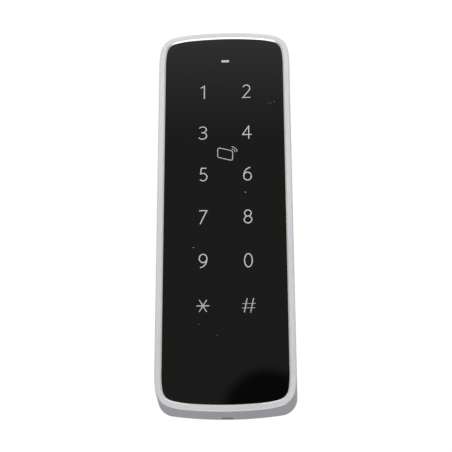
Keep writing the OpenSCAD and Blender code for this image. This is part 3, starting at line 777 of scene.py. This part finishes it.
def dark_disc():
    """A dark disc that fades out at its edge. The glass reflects it low on the right."""
    s = Shader("soft_shade")
    away = s.node("VectorMath", operation="LENGTH")
    s.feed(away.inputs[0], s.where)
    dark = s.node("Emission", Color=rgb(0.03, 0.03, 0.03)).outputs[0]
    s.show(s.fade(s.span(away.outputs["Value"], 1, 0, SHADE_R * 0.78, SHADE_R), dark))
    return s.material


def floor_paint():
    s = Shader("floor_paint")
    s.set(Base_Color=s.mix(s.noise(3), rgb(0.78, 0.78, 0.77), rgb(0.82, 0.82, 0.81)),
          Roughness=s.span(s.noise(8), 0.5, 0.7))
    return s.material


def white_glow():
    s = Shader("white_backdrop")
    s.show(s.node("Emission", Color=rgb(1, 1, 1), Strength=1.02).outputs[0])
    return s.material


def stage_object(name, verts, faces, material):
    """Something round the reader that isn't part of it, from points in metres."""
    made = add_object(name, verts, faces, [material], unit=1)
    return made


def flat_sheet(name, centre, normal, size, material):
    x, y = size[0] / 2, size[1] / 2
    made = stage_object(name, [(-x, -y, 0), (x, -y, 0), (x, y, 0), (-x, y, 0)], [(0, 1, 2, 3)], material)
    made.location = centre
    made.rotation_mode = "QUATERNION"
    made.rotation_quaternion = Vector(normal).to_track_quat("Z", "Y")
    return made


def reflected(name, centre, normal, size, material):
    """A card that shows in reflections and nowhere else."""
    card = flat_sheet(name, centre, normal, size, material)
    card.visible_camera = card.visible_diffuse = card.visible_shadow = False


def backdrop():
    """A white sphere, open below, that only the camera sees."""
    rings, turns = 24, 48
    polar = [math.pi * i / rings for i in range(1, rings)]
    around = [2 * math.pi * j / turns for j in range(turns)]
    loops = [[(BACKDROP_R * math.sin(p) * math.cos(a), BACKDROP_R * math.sin(p) * math.sin(a),
               BACKDROP_R * math.cos(p)) for a in around] for p in polar]
    verts, faces = loft(loops)
    faces.append(tuple(range(turns)))
    made = stage_object("backdrop", verts, faces, white_glow())
    made.visible_diffuse = made.visible_glossy = made.visible_transmission = made.visible_shadow = False


def lamp(name, place, size, power, colour):
    """A square light aimed at the reader, left out of its reflections."""
    light = bpy.data.lights.new(name, "AREA")
    light.shape, light.size, light.energy, light.color = "SQUARE", size, power, colour
    made = bpy.data.objects.new(name, light)
    made.location = place
    made.rotation_mode = "QUATERNION"
    made.rotation_quaternion = Vector(place).to_track_quat("Z", "Y")
    made.visible_glossy = made.visible_camera = False
    bpy.context.scene.collection.objects.link(made)


def sky():
    """Soft studio surroundings: grey below, dim just above eye level and bright overhead."""
    world = bpy.data.worlds.new("studio")
    bpy.context.scene.world = world
    world.use_nodes = True
    tree = world.node_tree
    tree.nodes.clear()
    out = tree.nodes.new("ShaderNodeOutputWorld")
    back = tree.nodes.new("ShaderNodeBackground")
    coord = tree.nodes.new("ShaderNodeTexCoord")
    split = tree.nodes.new("ShaderNodeSeparateXYZ")
    ramp = tree.nodes.new("ShaderNodeValToRGB")
    scale = tree.nodes.new("ShaderNodeMapRange")
    scale.inputs["From Min"].default_value = -1.0
    tree.links.new(coord.outputs["Generated"], split.inputs[0])
    tree.links.new(split.outputs["Z"], scale.inputs["Value"])
    tree.links.new(scale.outputs[0], ramp.inputs[0])
    tree.links.new(ramp.outputs[0], back.inputs[0])
    tree.links.new(back.outputs[0], out.inputs[0])
    stops = ((0.0, 0.41), (0.44, 0.38), (0.53, 0.25), (0.693, 0.255),
             (0.706, 0.36), (0.73, 0.66), (0.75, 0.9), (1.0, 1.0))
    points = ramp.color_ramp.elements
    while len(points) < len(stops):
        points.new(0.5)
    for point, (height, level) in zip(points, stops):
        blue = 0.97 if level < 0.3 else 1.01
        point.position, point.color = height, (level, level, level * blue, 1)


floor = flat_sheet("floor", (0, 0, FLOOR_Z), (0, 0, 1), (FLOOR_SIZE, FLOOR_SIZE), floor_paint())
floor.visible_diffuse = floor.visible_glossy = False
backdrop()
reflected("soft_shade_card", centre=(0.0097, -1.0, 0.0593), normal=(0, 1, 0), size=SHADE_CARD,
          material=dark_disc())
reflected("low_card", centre=(0.0, -0.34, -0.33), normal=(0, 0.35, 0.94), size=LOW_CARD,
          material=fading_card("low_card", (1, 1, 0.97), 1.6, *LOW_CARD))
for side in (-1, 1):
    reflected("side_card", centre=(side * 0.8, -0.1, 0.35), normal=(-side, 0, -0.3), size=SIDE_CARD,
              material=fading_card("side_card", (1, 1, 0.98), 0.6, *SIDE_CARD))
lamp("key", place=(-0.45, -1.7, 1.0), size=1.0, power=22.5, colour=(1.0, 0.99, 0.98))
lamp("fill", place=(0.6, -1.7, 0.3), size=1.2, power=7, colour=(0.96, 0.98, 1.0))
lamp("rear_key", place=(0.8, 1.6, 1.1), size=1.0, power=18, colour=(1, 1, 1))
lamp("rear_fill", place=(-1.2, 1.3, 0.3), size=1.2, power=9, colour=(1, 1, 1))
sky()


# ------------------------------------------------------------------ camera

LENS, SENSOR_W = 83.68, 36.0
PITCH, YAW, ROLL, DISTANCE = math.radians(17.703), math.radians(2.459), math.radians(-0.23), 379.9
AIM = Vector((0.073, -9.0, -2.571))


def add_camera():
    """The photograph's view, from the front and a little below."""
    back = Vector((math.sin(YAW) * math.cos(PITCH), -math.cos(YAW) * math.cos(PITCH), -math.sin(PITCH)))
    level = (-back).cross(Vector((0, 0, 1))).normalized()
    upright = level.cross(-back)
    right = level * math.cos(ROLL) + upright * math.sin(ROLL)
    up = upright * math.cos(ROLL) - level * math.sin(ROLL)
    pose = Matrix((right, up, back)).transposed().to_4x4()
    pose.translation = (AIM + back * DISTANCE) * MM
    data = bpy.data.cameras.new("camera")
    data.lens, data.sensor_width = LENS, SENSOR_W
    data.clip_start, data.clip_end = 0.01, 20
    camera = bpy.data.objects.new("camera", data)
    bpy.context.scene.collection.objects.link(camera)
    camera.matrix_world = pose
    bpy.context.scene.camera = camera


add_camera()
bpy.context.scene.view_settings.view_transform = "Standard"
